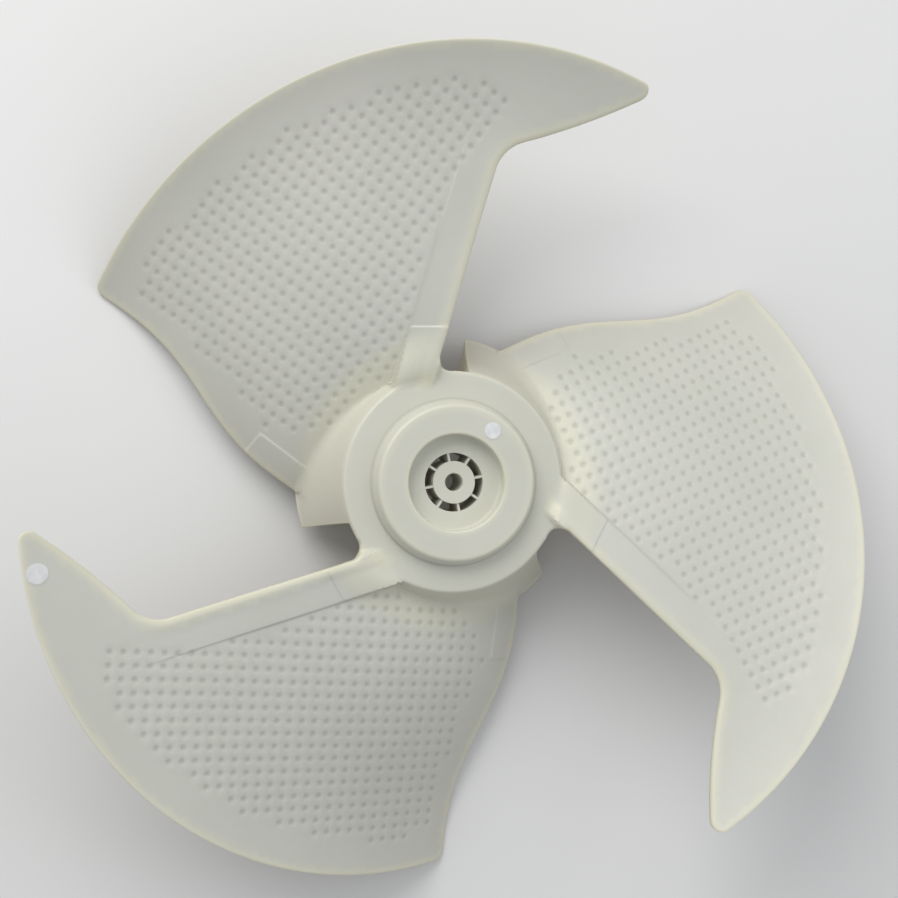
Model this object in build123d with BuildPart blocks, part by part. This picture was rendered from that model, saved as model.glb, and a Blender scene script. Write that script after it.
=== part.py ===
"""Three-bladed axial fan impeller, moulded in one piece, with two round paper labels.

Millimetres and degrees. +Z is the shaft axis and points to the inlet side. The origin is on the
axis, in the plane of the hub's outer ring. The blades sweep forward, and the impeller turns
clockwise when it is seen from the inlet side.
"""
from build123d import *
from math import asin, cos, degrees, radians, sin, sqrt
import os

# ---- Hub: ring, crown and recess ----
hub_wall = 3.5
ring_radius = 93.4            # the outer ring's edge
ring_edge_round = 3.0
rim_depth = 9.0               # lip under the ring's edge
crown_radius = 65.4           # top of the raised crown
crown_height = 15.0
crown_flank = 4.6             # how far its flank spreads down to the ring
crown_round = 4.0
recess_radius = 40.2
recess_round = 2.0
recess_floor = 0.6

# ---- Hub: boss, sleeve, spokes and ribs ----
bore_diameter = 15.0
boss_radius = 17.8
boss_front = 1.2
boss_length = 48.0
sleeve_radius = 24.7          # inside of the sleeve
sleeve_wall = 3.0
sleeve_depth = 42.0
spoke_count = 8
spoke_width = 1.9
spoke_angle = 11.25
spoke_drop = 1.0              # how far the spokes lie under the recess floor
rib_count = 6
rib_width = 2.6
rib_depth = 16.0
rib_angle = 25.0

# ---- Skirts: the flared barrel under the root of each blade ----
skirt_radius = 126.5
skirt_depth = 75.0
skirt_wall = 3.2
skirt_bow = 3.0               # how far the flank bows inwards
skirt_end_angle = 199.0       # outer end of the straight end edge
skirt_end_inner_angle = 201.3
skirt_end_inner_radius = 92.0
skirt_web_depth = 53.0        # depth, under the ring, of the web that closes a skirt's end
skirt_web_wall = 3.0

# ---- Blades: number and plan ----
blade_count = 3
tip_radius = 352.0            # reach of the outer edge at its middle
leading_offset = 39.6         # distance of the straight leading edge from the shaft axis
leading_direction = 75.1      # its direction in plan
leading_corner_radius = 267.0  # where the straight edge turns forward into the nose
leading_corner_round = 30.0
nose_inset = 1.5              # how far inside the tip radius the nose ends
nose_angle = 64.2
nose_bulge = 3.5              # how far the nose edge bows out between its ends
nose_round = 7.0
hub_blend = 11.0              # concave round between the leading edge and the hub's ring
trailing_radii = (165.0, 205.0, 257.0, 302.0)   # points of the waved trailing edge
trailing_angles = (173.2, 163.5, 154.7, 151.9)
trailing_root_angle = 184.2
trailing_tip_inset = 13.0
trailing_tip_angle = 151.2
trailing_corner_round = 10.0

# ---- Blades: heights of the inlet face, at four radii from the root to the tip ----
root_station = 6.6            # first radius, outside the hub's ring
tip_station = 2.0             # last radius, inside the tip
middle_angle = 141.5          # middle of the blade at the first radius
middle_sweep = 33.5           # degrees that the middle moves forward from the first to the last radius
half_chord_angle = 42.0
trailing_heights = (-61.0, -82.0, -106.0, -87.0)
middle_heights = (-27.0, -9.0, 6.0, 51.0)
leading_heights = (3.5, 25.0, 48.0, 88.0)

# ---- Blades: wall and root pads ----
blade_wall_root = 5.5
blade_wall_tip = 3.2
nose_thickening = 2.5
pad_height = 1.4              # how far the root pads stand above the blade
leading_pad_start = 78.0
leading_pad_end = 130.0
leading_pad_width = 30.0
trailing_pad_length = 55.5
trailing_pad_width = 21.0

# ---- Paper labels ----
label_thickness = 0.3
label_glue = 0.05             # the adhesive between a label and the plastic
hub_label_radius = 7.0
hub_label_angle = 55.0
tip_label_radius = 8.0
tip_label_inset = 11.0
tip_label_angle = 191.0

# ---- Helper sizes ----
reach = 200.0                 # how far cutting solids run past the part
overlap = 12.0                # how far the blades run into the hub
grid_rows = 8
grid_columns = 11
grid_margin = 24.0
grid_places = 1.5

inner_radius = ring_radius - overlap
first_station = ring_radius + root_station
last_station = tip_radius - tip_station
stations = [first_station + (last_station - first_station) * row / 3 for row in range(4)]


def polar(radius, angle, height=0.0):
    return Vector(radius * cos(radians(angle)), radius * sin(radians(angle)), height)


def weights(value, nodes):
    """Lagrange weights, which pass one smooth curve through the values at the nodes."""
    result = []
    for own in nodes:
        weight = 1.0
        for other in nodes:
            if other != own:
                weight *= (value - other) / (own - other)
        result.append(weight)
    return result


def blade_middle(radius):
    return middle_angle - middle_sweep * (radius - first_station) / (last_station - first_station)


def inlet_height(radius, place):
    """Height of the inlet face: place is -1 at the trailing side and +1 at the leading side."""
    chord_weights = weights(place, (-1.0, 0.0, 1.0))
    radial_weights = weights(radius, stations)
    height = 0.0
    for share, *heights in zip(radial_weights, trailing_heights, middle_heights, leading_heights):
        height += share * sum(weight * value for weight, value in zip(chord_weights, heights))
    return height


def blade_wall(radius, place):
    """Upright thickness of the blade, thicker at the root and towards the leading edge."""
    outwards = (radius - ring_radius) / (tip_radius - ring_radius)
    forward = (1.0 + place) / 2.0
    taper = (blade_wall_tip - blade_wall_root) * outwards
    return blade_wall_root + taper + nose_thickening * forward ** 2


def blade_sheet(rise=0.0, under=False):
    """One smooth sheet, larger than the blade, at its inlet face or at its outlet face."""
    inner = inner_radius - overlap / 2
    outer = tip_radius + grid_margin
    rows = []
    for row in range(grid_rows):
        radius = inner + (outer - inner) * row / (grid_rows - 1)
        points = []
        for column in range(grid_columns):
            place = grid_places * (2.0 * column / (grid_columns - 1) - 1.0)
            height = inlet_height(radius, place) + rise
            if under:
                height -= blade_wall(radius, place)
            points.append(polar(radius, blade_middle(radius) - place * half_chord_angle, height))
        rows.append(points)
    return Face.make_surface_from_array_of_points(rows, tol=0.02)


def leading_point(radius, inset=0.0):
    """Point of the straight leading edge, or of a line inset from it, at a radius."""
    return polar(radius, leading_direction + degrees(asin((leading_offset + inset) / radius)))


# ---- Sheets that bound the blade, and the rooms above and below them ----
inlet_sheet = blade_sheet()
pad_sheet = blade_sheet(rise=pad_height)
outlet_sheet = blade_sheet(under=True)
under_inlet = extrude(inlet_sheet, amount=reach, dir=(0, 0, -1))
under_pad = extrude(pad_sheet, amount=reach, dir=(0, 0, -1))
under_outlet = extrude(outlet_sheet, amount=reach, dir=(0, 0, -1))
over_outlet = extrude(outlet_sheet, amount=reach, dir=(0, 0, 1))
label_slab = extrude(Pos(0, 0, label_glue) * inlet_sheet, amount=label_thickness, dir=(0, 0, 1))

# ---- Hub: a turned shell, with the sleeve, the boss, its spokes and the ribs behind the ring ----
with BuildPart() as hub:
    with BuildSketch(Plane.XZ):
        with BuildLine():
            FilletPolyline(
                (sleeve_radius, recess_floor),
                (recess_radius, recess_floor),
                (recess_radius, crown_height),
                (crown_radius, crown_height),
                (crown_radius + crown_flank, 0),
                (ring_radius, 0),
                (ring_radius, -rim_depth),
                radius=[recess_round, recess_round, crown_round, recess_round, ring_edge_round],
            )
            offset(amount=hub_wall, side=Side.RIGHT, closed=True)
        make_face()
    revolve(axis=Axis.Z)
    with BuildSketch(Plane.XY.offset(recess_floor)):
        Circle(sleeve_radius + sleeve_wall)
        Circle(sleeve_radius, mode=Mode.SUBTRACT)
    extrude(amount=-sleeve_depth)
    with BuildSketch(Plane.XY.offset(boss_front)):
        Circle(boss_radius)
    extrude(amount=-boss_length)
    with BuildSketch(Plane.XY.offset(recess_floor - spoke_drop)):
        spoke_length = sleeve_radius - boss_radius + spoke_width
        with PolarLocations((boss_radius + sleeve_radius) / 2, spoke_count, start_angle=spoke_angle):
            Rectangle(spoke_length, spoke_width)
    extrude(amount=spoke_drop - sleeve_depth)
    with BuildSketch(Plane.XY.offset(-hub_wall / 2)):
        rib_inner = sleeve_radius + sleeve_wall / 2
        rib_outer = ring_radius - hub_wall / 2
        with PolarLocations((rib_inner + rib_outer) / 2, rib_count, start_angle=rib_angle):
            Rectangle(rib_outer - rib_inner, rib_width)
    extrude(amount=hub_wall / 2 - rib_depth)
    with Locations((0, 0, boss_front)):
        Hole(radius=bore_diameter / 2)

# ---- Plan of one blade ----
leading_start = leading_point(inner_radius)
leading_corner = leading_point(leading_corner_radius)
blend_across = leading_offset - hub_blend
blend_along = sqrt((ring_radius + hub_blend) ** 2 - blend_across ** 2)
blend_centre = Vector(blend_along, blend_across).rotate(Axis.Z, leading_direction)
blend_on_edge = Vector(blend_along, leading_offset).rotate(Axis.Z, leading_direction)
blend_on_ring = blend_centre.normalized() * ring_radius
blend_inner = blend_centre.normalized() * inner_radius
blend_inwards = ((blend_on_ring + blend_on_edge) / 2 - blend_centre).normalized()
blend_middle = blend_centre + blend_inwards * hub_blend
nose_tip = polar(tip_radius - nose_inset, nose_angle)
outer_middle = polar(tip_radius, (nose_angle + trailing_tip_angle) / 2)
trailing_root = polar(skirt_radius, trailing_root_angle)
trailing_wave = [polar(radius, angle) for radius, angle in zip(trailing_radii, trailing_angles)]
trailing_tip = polar(tip_radius - trailing_tip_inset, trailing_tip_angle)
trailing_inwards = (trailing_root - trailing_wave[0]).normalized()
trailing_start = trailing_root + trailing_inwards * 2.5 * overlap

with BuildSketch() as blade_plan:
    with BuildLine():
        Line(blend_inner, blend_on_ring)
        ThreePointArc(blend_on_ring, blend_middle, blend_on_edge)
        Line(blend_on_edge, leading_corner)
        SagittaArc(leading_corner, nose_tip, nose_bulge)
        ThreePointArc(nose_tip, outer_middle, trailing_tip)
        Spline(trailing_tip, *reversed(trailing_wave), trailing_root)
        Line(trailing_root, trailing_start)
        ThreePointArc(trailing_start, polar(inner_radius, middle_angle), blend_inner)
    make_face()
    corners = {
        leading_corner_round: leading_corner,
        nose_round: nose_tip,
        trailing_corner_round: trailing_tip,
    }
    for corner_round, corner in corners.items():
        fillet(blade_plan.vertices().sort_by_distance(corner)[0], radius=corner_round)

# ---- Plan of the two root pads, beside the leading and the trailing edge ----
trailing_across = trailing_inwards.rotate(Axis.Z, 90)
trailing_pad_tip = trailing_root - trailing_inwards * trailing_pad_length
with BuildSketch() as pad_plan:
    with BuildLine():
        Polyline(
            leading_point(leading_pad_start),
            leading_point(leading_pad_end),
            leading_point(leading_pad_end, leading_pad_width),
            leading_point(leading_pad_start, leading_pad_width),
            close=True,
        )
    make_face()
    with BuildLine():
        Polyline(
            trailing_start - trailing_across * overlap,
            trailing_pad_tip - trailing_across * overlap,
            trailing_pad_tip + trailing_across * trailing_pad_width,
            trailing_start + trailing_across * trailing_pad_width,
            close=True,
        )
    make_face()
    add(blade_plan.sketch, mode=Mode.INTERSECT)

# ---- Section of the skirt, and the room inside it ----
skirt_top = Vector(ring_radius, -ring_edge_round)
skirt_foot = Vector(skirt_radius, -skirt_depth)
inwards = Vector(-skirt_wall, 0)
with BuildSketch(Plane.XZ) as skirt_section:
    with BuildLine():
        SagittaArc(skirt_top, skirt_foot, -skirt_bow)
        Line(skirt_foot, skirt_foot + inwards)
        SagittaArc(skirt_top + inwards, skirt_foot + inwards, -skirt_bow)
        Line(skirt_top + inwards, skirt_top)
    make_face()
with BuildPart() as hub_room:
    with BuildSketch(Plane.XZ):
        with BuildLine():
            SagittaArc(skirt_top + inwards, skirt_foot + inwards, -skirt_bow)
            Polyline(
                skirt_foot + inwards,
                (skirt_radius - skirt_wall, -reach),
                (0, -reach),
                (0, -hub_wall / 2),
                (ring_radius - skirt_wall, -hub_wall / 2),
                skirt_top + inwards,
            )
        make_face()
    revolve(axis=Axis.Z)

# ---- Plan of the sector that a skirt fills, from the leading edge to its own end edge ----
sector_radius = skirt_radius + overlap
end_outer = polar(skirt_radius, skirt_end_angle)
end_inner = polar(skirt_end_inner_radius, skirt_end_inner_angle)
end_slope = (end_outer - end_inner).normalized() * overlap
sector_start = leading_point(sector_radius)
sector_middle = polar(sector_radius, middle_angle)
with BuildSketch() as skirt_sector:
    with BuildLine():
        Line(leading_start, sector_start)
        ThreePointArc(sector_start, sector_middle, end_outer + end_slope)
        Line(end_outer + end_slope, end_inner - end_slope)
        ThreePointArc(end_inner - end_slope, polar(inner_radius, middle_angle), leading_start)
    make_face()

# ---- Web at the skirt's end, from the ring's lip down to the foot ----
web_inner = ring_radius - hub_wall
web_across = end_slope.normalized().rotate(Axis.Z, -90) * skirt_web_wall
with BuildPart() as web:
    with BuildSketch(Plane.XZ):
        with BuildLine():
            SagittaArc(skirt_top, skirt_foot, -skirt_bow)
            Polyline(
                skirt_foot,
                (web_inner, -skirt_web_depth),
                (web_inner, -hub_wall / 2),
                (ring_radius - hub_wall / 2, -hub_wall / 2),
                skirt_top,
            )
        make_face()
    revolve(axis=Axis.Z)
    with BuildSketch(Plane.XY.offset(-reach)):
        with BuildLine():
            Polyline(
                end_outer + end_slope,
                end_inner - end_slope,
                end_inner - end_slope + web_across,
                end_outer + end_slope + web_across,
                close=True,
            )
        make_face()
    extrude(amount=2 * reach, mode=Mode.INTERSECT)

# ---- One blade, its pads, its skirt and the web at the skirt's end ----
with BuildPart() as blade:
    with BuildSketch(Plane.XY.offset(-reach)):
        add(blade_plan.sketch)
    extrude(amount=2 * reach)
    add(under_inlet, mode=Mode.INTERSECT)
    add(under_outlet, mode=Mode.SUBTRACT)

with BuildPart() as pads:
    with BuildSketch(Plane.XY.offset(-reach)):
        add(pad_plan.sketch)
    extrude(amount=2 * reach)
    add(under_pad, mode=Mode.INTERSECT)
    add(Pos(0, 0, -pad_height) * under_inlet, mode=Mode.SUBTRACT)

with BuildPart() as skirt:
    add(skirt_section.sketch)
    revolve(axis=Axis.Z)
    with BuildSketch(Plane.XY.offset(-reach)):
        add(skirt_sector.sketch)
    extrude(amount=2 * reach, mode=Mode.INTERSECT)
    add(over_outlet, mode=Mode.INTERSECT)

with BuildPart() as petal:
    add(blade.part)
    add(pads.part)
    add(hub_room.part, mode=Mode.SUBTRACT)
    add(skirt.part)
    add(web.part)

# ---- The impeller: the hub with its blades and skirts, one moulding ----
with BuildPart() as impeller:
    add(hub.part)
    with PolarLocations(0, blade_count):
        add(petal.part)
impeller.part.label = "impeller"

# ---- Paper labels: one on the crown, one near the tip of the second blade ----
with BuildPart() as hub_label:
    with BuildSketch(Plane.XY.offset(crown_height + label_glue)):
        with PolarLocations((recess_radius + crown_radius) / 2, 1, start_angle=hub_label_angle):
            Circle(hub_label_radius)
    extrude(amount=label_thickness)
hub_label.part.label = "hub_label"

blade_turn = 360 / blade_count
with BuildPart() as flat_label:
    with BuildSketch(Plane.XY.offset(-reach)):
        with PolarLocations(tip_radius - tip_label_inset, 1, start_angle=tip_label_angle - blade_turn):
            Circle(tip_label_radius)
    extrude(amount=2 * reach)
    add(label_slab, mode=Mode.INTERSECT)
with BuildPart() as tip_label:
    with PolarLocations(0, 1, start_angle=blade_turn):
        add(flat_label.part)
tip_label.part.label = "tip_label"

os.makedirs("parts", exist_ok=True)
export_step(impeller.part, "parts/impeller.step")
export_step(hub_label.part, "parts/hub_label.step")
export_step(tip_label.part, "parts/tip_label.step")
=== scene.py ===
"""Axial fan impeller: one detailed moulding over the CAD model, its two labels, and a plain studio.

The moulding is built in the CAD frame, in millimetres, and turned into metres at the end. It is a
closed mesh between two height fields over the impeller's plan: its inlet face, with the crown, the
blades and their dimples, and its outlet face, with the boss, the sleeve, the ribs and the skirts.
"""
import bpy
import numpy as np
from mathutils import Matrix, Vector, kdtree
from mathutils.geometry import delaunay_2d_cdt


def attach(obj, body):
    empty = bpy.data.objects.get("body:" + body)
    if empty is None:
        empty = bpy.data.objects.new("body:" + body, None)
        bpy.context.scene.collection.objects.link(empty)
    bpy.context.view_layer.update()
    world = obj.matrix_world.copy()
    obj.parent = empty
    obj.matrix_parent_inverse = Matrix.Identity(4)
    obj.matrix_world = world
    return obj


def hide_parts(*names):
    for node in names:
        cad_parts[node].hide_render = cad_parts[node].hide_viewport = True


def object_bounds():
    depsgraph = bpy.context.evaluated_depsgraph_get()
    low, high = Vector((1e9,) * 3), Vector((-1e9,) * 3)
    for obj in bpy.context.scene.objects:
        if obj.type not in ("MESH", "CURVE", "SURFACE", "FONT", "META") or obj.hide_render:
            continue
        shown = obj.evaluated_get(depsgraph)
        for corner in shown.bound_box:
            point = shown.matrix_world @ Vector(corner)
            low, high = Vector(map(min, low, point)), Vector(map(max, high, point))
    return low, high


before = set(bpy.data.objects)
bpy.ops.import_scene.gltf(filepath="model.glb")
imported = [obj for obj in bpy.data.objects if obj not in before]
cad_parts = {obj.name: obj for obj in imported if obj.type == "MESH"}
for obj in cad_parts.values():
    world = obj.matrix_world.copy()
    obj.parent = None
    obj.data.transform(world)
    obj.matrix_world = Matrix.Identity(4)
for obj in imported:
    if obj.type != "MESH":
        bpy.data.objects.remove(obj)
cad_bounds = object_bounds()

MM = 0.001

# ---- Sizes shared with the CAD model ----
HUB_WALL = 3.5
RING_RADIUS, RING_EDGE_ROUND, RIM_DEPTH = 93.4, 3.0, 9.0
CROWN_RADIUS, CROWN_HEIGHT, CROWN_FLANK, CROWN_ROUND = 65.4, 15.0, 4.6, 4.0
RECESS_RADIUS, RECESS_ROUND, RECESS_FLOOR = 40.2, 2.0, 0.6
BORE_RADIUS, BOSS_RADIUS, BOSS_FRONT, BOSS_LENGTH = 7.5, 17.8, 1.2, 48.0
SLEEVE_RADIUS, SLEEVE_WALL, SLEEVE_DEPTH = 24.7, 3.0, 42.0
SPOKE_COUNT, SPOKE_WIDTH, SPOKE_ANGLE, SPOKE_DROP = 8, 1.9, 11.25, 1.0
RIB_COUNT, RIB_WIDTH, RIB_DEPTH, RIB_ANGLE = 6, 2.6, 16.0, 25.0
SKIRT_RADIUS, SKIRT_DEPTH, SKIRT_WALL, SKIRT_BOW = 126.5, 75.0, 3.2, 3.0
SKIRT_END_ANGLE, SKIRT_END_INNER_ANGLE, SKIRT_END_INNER_RADIUS = 199.0, 201.3, 92.0
SKIRT_WEB_DEPTH, SKIRT_WEB_WALL = 53.0, 3.0
BLADE_COUNT, TIP_RADIUS = 3, 351.6
LEADING_OFFSET, LEADING_DIRECTION = 39.6, 75.1
LEADING_CORNER_ROUND, NOSE_ROUND, TRAILING_CORNER_ROUND = 30.0, 7.0, 10.0
NOSE_RADIUS, NOSE_ANGLE, NOSE_BULGE, HUB_BLEND = 350.1, 64.2, 3.5, 11.0
TRAILING_RADII = (126.5, 165.0, 205.0, 257.0, 302.0, 339.0)
TRAILING_ANGLES = (184.2, 173.2, 163.5, 154.7, 151.9, 151.2)
STATIONS = (100.0, 100.0 + 250.0 / 3, 100.0 + 500.0 / 3, 350.0)
MIDDLE_ANGLE, MIDDLE_SWEEP, HALF_CHORD_ANGLE = 141.5, 33.5, 42.0
TRAILING_HEIGHTS = (-61.0, -82.0, -106.0, -87.0)
MIDDLE_HEIGHTS = (-27.0, -9.0, 6.0, 51.0)
LEADING_HEIGHTS = (3.5, 25.0, 48.0, 88.0)
WALL_ROOT, WALL_TIP, NOSE_THICKENING = 5.5, 3.2, 2.5

# ---- Finer forms, which only this script has ----
LEADING_CORNER_RADIUS = 275.0  # the CAD model's corner is 8 mm nearer to the axis
FOOT_ROUND, LIP_ROUND = 0.8, 1.0
MOUTH_ROUND = 0.6             # at the bore's mouth
FOOT_WALL = 1                 # height of the skirt's foot at its outer edge
STEP_GAP = 0.06               # plan width of an upright wall
RING_MARGIN, SKIRT_MARGIN = 0.05, 0.1  # how far past a circle still counts as on it
DIMPLE_PITCH, DIMPLE_TURN, DIMPLE_ORIGIN = 10.6, 54.75, (-129.5, 174.0)
DIMPLE_RADIUS, DIMPLE_DEPTH, DIMPLE_LATTICE = 3.5, 0.62, 40
DIMPLE_FIELD = (
    (25.5, 327), (-7, 324.5), (-32, 323), (-64.5, 319), (-92, 308), (-117, 298), (-142, 287),
    (-164.5, 272), (-188, 254.5), (-208, 237), (-227, 219.5), (-242, 199.5), (-256, 179.5),
    (-264.5, 156), (-244.5, 142), (-227, 132), (-209.5, 112), (-193, 98), (-179.5, 79.5),
    (-164.5, 57), (-152, 44.5), (-132, 39.5), (-112, 38), (-99.5, 49.5), (-89.5, 64.5),
    (-74.5, 77), (-52, 82), (-47, 107), (-39.5, 132), (-31, 154.5), (-28, 187), (-19.5, 212),
    (-9.5, 242), (0.5, 264.5), (20.5, 286), (32, 304.5),
)
BAND_WIDTH, BAND_HEIGHT, BAND_STEP = 30.5, 0.8, 1.8
BAND_FADE_START, BAND_FADE_LENGTH = 245.0, 50.0
BEAD_WIDTH, BEAD_SLOPE, BEAD_HEIGHT = 10.5, 5.0, 0.9
WEDGE_HEIGHT, WEDGE_START, WEDGE_INNER, WEDGE_SLOPE = 1.6, 118.0, 75.0, 0.12
WEDGE_REACH, WEDGE_SIDE, WEDGE_SIDE_REACH = 25, 6, 14
GUSSET_HEIGHT, GUSSET_START, GUSSET_REACH, GUSSET_STEP = 12.0, 132.0, 40.0, 3.0
PAD_HEIGHT, PAD_STEP, LEADING_PAD_END = 1.0, 1.6, 129.5
TRAILING_PAD_WIDTH, TRAILING_PAD_LENGTH = 21.0, 55.5
TRAILING_PAD_HEIGHT, TRAILING_PAD_STEP = 1.1, 2.6
TRAILING_PAD_FADE_START, TRAILING_PAD_FADE_LENGTH = -4, 20

# ---- Where the blade's face is taken down past its edges, so that it runs into the hub ----
ROOT_CUT_RADIUS, ROOT_CUT_DEPTH = RING_RADIUS + 3 * HUB_BLEND, 16.0
ROOT_CUT_START, ROOT_CUT_REACH = 0.5, 8
PAST_DEPTH, PAST_REACH = 30.0, 2.5
CORNER_INNER, CORNER_OUTER = RING_RADIUS - 6, RING_RADIUS + 2 * HUB_BLEND
CORNER_START, CORNER_REACH = 1.0, 4.0

# ---- Rounds where the blade meets the ring and the skirt, above and below ----
ROOT_BLEND, ROOT_BLEND_GROWTH, ROOT_BLEND_START, ROOT_BLEND_LENGTH = 3.0, 10.0, 95, 14
UNDER_BLEND = 2.0

# ---- Where a blade's third of the plan starts: an angle, and how far it leans back per mm ----
SHARE_START, SHARE_LEAN = 88.0, 0.18

# ---- Rounded edges along the plan: width and drop ----
RING_EDGE = (0.6, 0.0)
BLEND_EDGE = (RING_EDGE_ROUND, RING_EDGE_ROUND)
LEADING_ROOT_EDGE, LEADING_EDGE, LEADING_CORNER_EDGE = (5.0, 2.6), (6.0, 2.4), (5.0, 2.0)
NOSE_EDGE, OUTER_EDGE = (3.0, 1.3), (2.6, 1.2)
TRAILING_CORNER_EDGE, TRAILING_EDGE = (2.2, 1.2), (2.2, 1.4)
FOOT_EDGE, SKIRT_END_EDGE = (1.0, 0.3), (1.2, 0.8)

# ---- Density of the mesh ----
WINDOW_OUTER_POINTS, WINDOW_INNER_POINTS = 14, 11
FINE_RING, RING, BORE_RING, BOSS_RING = 300, 240, 72, 48
FINE_RING_START, BOSS_RING_RADIUS = 45, 13.0
FLAT_TOP_RADII = (26.5, 31.0, 46.0, 52.0, 57.0)
WEDGE_RADII = (68.2, 71.6, 75.0, 78.0, 80.0, 82.0, 84.0, 86.0, 88.0)
FLAT_UNDER_RADII = (34.0, 50.0, 56.0, 78.0, 83.0)
SKIRT_RADII = np.arange(95.0, 140.0, 2.0)
TOP_NET, UNDER_NET, NET_INNER_RADIUS = 6.0, 8.0, 140
TOP_EDGE_SHARES, UNDER_EDGE_SHARES = (0.06, 0.22, 0.5, 0.78, 1.0), (0.1, 0.4, 1.0)
STEP_SHIFTS = (-1.9, -1.4, -0.9, -0.3, 0.3, 0.9, 1.4, 1.9)
STEP_SPACING, STEP_END_SPACING = 2.5, 2.0
BAND_RUN, LEADING_PAD_RUN = (70, 300), (-37, -10)
TRAILING_PAD_RUN, TRAILING_PAD_END_RUN = (-10, 58), (-10, 22)
WEB_RUN, WEB_SPACING, WEB_INNER_GAP = (-40.0, 6.0), 0.8, 0.3
WEB_OUTER_GAP, WEB_END_GAP, RIB_INNER_GAP = 0.1, 0.2, 0.4
DIMPLE_RINGS = ((0.36, 6), (0.7, 8), (1.0, 8))
STEPS_FROM_EDGE, NET_FROM_EDGE, SKIRT_FROM_EDGE = 0.2, 1.5, 0.5
DIMPLES_FROM_STEPS, NET_FROM_DETAIL, SKIRT_FROM_DETAIL, REST_FROM_WEB = 1.0, 2.2, 0.8, 0.5
SHARP_ANGLE = 40              # between faces that aren't shaded as one smooth surface

# ---- Painted light and shade on the plastic: places from 0 to 1, and fades in millimetres ----
EDGE_GLOW_WIDTH, EDGE_GLOW_PER_WIDTH = 3.0, 1.3
SKIRT_GLOW, SKIRT_GLOW_END, SKIRT_GLOW_FADE = 0.5, 134.0, 18.0
ROUND_GLOW, CROWN_GLOW_PLACE, RECESS_GLOW_PLACE = 0.7, (63.5, 3.5), (41.5, 3.0)
ROOT_GLOW_START, ROOT_GLOW_FADE = 76.0, 12.0
ROOT_GLOW_SIDE, ROOT_GLOW_EDGE = (18.0, 12.0), (5.0, 6.0)
# Painted light spread over the hub, stronger at its rim
HUB_GLOW, RIM_GLOW, RIM_GLOW_START, RIM_GLOW_FADE = 0.25, 0.25, 90.0, 3.0
DIMPLE_SHADE, CREASE_FADE, BAND_SHADE, BAND_SHADE_FADE = 1.5, 1.6, 0.8, 2.6


# ---- Small tools ----
def polar(radius, angle):
    turn = np.radians(angle)
    return np.array([radius * np.cos(turn), radius * np.sin(turn)])


def turned(points, angle):
    turn = np.radians(angle)
    cos, sin = np.cos(turn), np.sin(turn)
    return np.asarray(points) @ np.array([[cos, sin], [-sin, cos]])


def smooth(value):
    value = np.clip(value, 0.0, 1.0)
    return value * value * (3.0 - 2.0 * value)


def soft_max(first, second, reach):
    """The larger of two heights, with a round of about this reach where they cross."""
    near = np.maximum(reach - np.abs(first - second), 0.0) / reach
    return np.maximum(first, second) + near * near * reach * 0.25


def unit(vector):
    return vector / np.hypot(*vector)


def left_of(direction):
    return np.array([-direction[1], direction[0]])


def line(start, end, step=0.1):
    count = max(2, int(np.hypot(*(end - start)) / step))
    share = np.linspace(0, 1, count)[:, None]
    return start * (1 - share) + end * share


def arc(centre, radius, start, end, step=0.1):
    count = max(3, int(abs(np.radians(end - start)) * radius / step))
    turn = np.radians(np.linspace(start, end, count))
    return centre + radius * np.stack([np.cos(turn), np.sin(turn)], axis=1)


def bowed(start, end, sagitta):
    """Arc between two points, bowed to the right of its way by the sagitta."""
    chord = end - start
    half = np.hypot(*chord) / 2
    radius = (half * half + sagitta * sagitta) / (2 * sagitta)
    centre = (start + end) / 2 + left_of(unit(chord)) * (radius - sagitta)
    first = np.degrees(np.arctan2(*(start - centre)[::-1]))
    last = np.degrees(np.arctan2(*(end - centre)[::-1]))
    return arc(centre, radius, first, first + (last - first) % 360)


def normals_of(points):
    way = np.gradient(points, axis=0)
    way /= np.linalg.norm(way, axis=1)[:, None]
    return np.stack([-way[:, 1], way[:, 0]], axis=1)


def round_corner(before, after, radius, side=1):
    """Cuts two lines that meet at a corner and joins them by an arc.

    The side is 1 where they turn left and -1 where they turn right.
    """
    first = before + normals_of(before) * radius * side
    second = after + normals_of(after) * radius * side
    apart = np.hypot(*(first[::4, None] - second[None, ::4]).T).T
    row, column = np.unravel_index(np.argmin(apart), apart.shape)
    row, column = row * 4, column * 4
    centre = (first[row] + second[column]) / 2
    start = np.degrees(np.arctan2(*(before[row] - centre)[::-1]))
    end = np.degrees(np.arctan2(*(after[column] - centre)[::-1]))
    sweep = side * (side * (end - start) % 360)
    return before[:row], arc(centre, radius, start, start + sweep), after[column + 1:]


def natural_spline(points, step=0.1):
    """Cubic spline through points, straight at its ends."""
    points = np.asarray(points)
    spans = np.hypot(*np.diff(points, axis=0).T)
    count = len(points)
    system = np.eye(count)
    right = np.zeros((count, 2))
    for i in range(1, count - 1):
        system[i, i - 1:i + 2] = spans[i - 1], 2 * (spans[i - 1] + spans[i]), spans[i]
        slopes = (points[i + 1] - points[i]) / spans[i] - (points[i] - points[i - 1]) / spans[i - 1]
        right[i] = 6 * slopes
    bends = np.linalg.solve(system, right)
    result = []
    for i in range(count - 1):
        share = np.linspace(0, 1, int(spans[i] / step), endpoint=False)[:, None]
        other = 1 - share
        curve = other * points[i] + share * points[i + 1]
        bend = (other ** 3 - other) * bends[i] + (share ** 3 - share) * bends[i + 1]
        curve += bend * spans[i] ** 2 / 6
        result.append(curve)
    return np.concatenate(result + [points[-1:]])


def resampled(points, step):
    lengths = np.concatenate([[0], np.cumsum(np.hypot(*np.diff(points, axis=0).T))])
    places = np.linspace(0, lengths[-1], max(2, int(round(lengths[-1] / step)) + 1))
    return np.stack([np.interp(places, lengths, points[:, axis]) for axis in (0, 1)], axis=1)


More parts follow.
